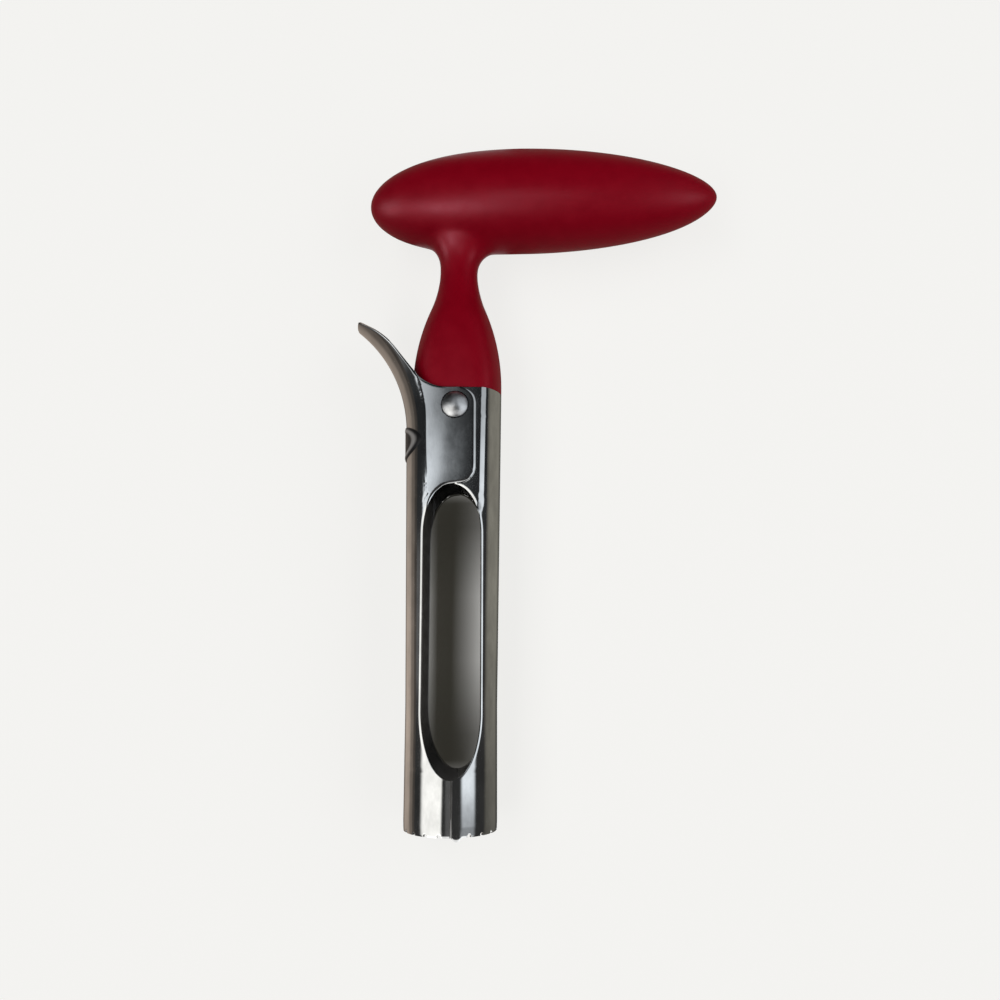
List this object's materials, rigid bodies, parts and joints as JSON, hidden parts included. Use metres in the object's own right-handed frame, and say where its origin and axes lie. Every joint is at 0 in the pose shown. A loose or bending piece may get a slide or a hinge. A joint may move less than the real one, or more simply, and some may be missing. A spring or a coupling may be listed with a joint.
{
  "type": "apple corer",
  "caption": "Steel tube with a toothed mouth and long slots, split in halves, on a T handle; a sprung thumb lever opens one half to release the core",
  "frame": {"origin": "middle of the cutting mouth, on the tube's axis", "axes": "+Y along the tube to the handle, +X to the handle's long end, +Z from the table up to the front face with the pin's rivet head"},
  "size_m": [0.0999, 0.1826, 0.0286],
  "materials": {
    "grip": "satin soft-touch skin with a fine mould grain",
    "core": "moulded, unpainted",
    "rod_steel": "drawn bar",
    "tube_steel": "polished stainless sheet",
    "rivet_steel": "polished domed heads",
    "badge": "dark blank inlay, flush",
    "washer": "thin slip washer",
    "spring_steel": "hard-drawn wire"
  },
  "bodies": {
    "handle": {"grip_skin": "grip", "handle_core": "core", "neck_rod": "rod_steel", "fixed_shell": "tube_steel", "rivet_post": "rivet_steel", "rivet_pin": "rivet_steel", "front_washer": "washer", "rear_washer": "washer", "return_spring": "spring_steel"},
    "lever": {"lever_shell": "tube_steel", "lever_badge": "badge"}
  },
  "joints": [
    {"name": "lever_hinge", "type": "hinge", "parent": "handle", "child": "lever", "pos_m": [0.001, 0.1061, 0], "axis": [0, 0, -1], "range_deg": [0, 14], "stiffness_Nm_per_rad": 0.1, "springref_deg": -34.38, "deforming": ["return_spring"]}
  ]
}
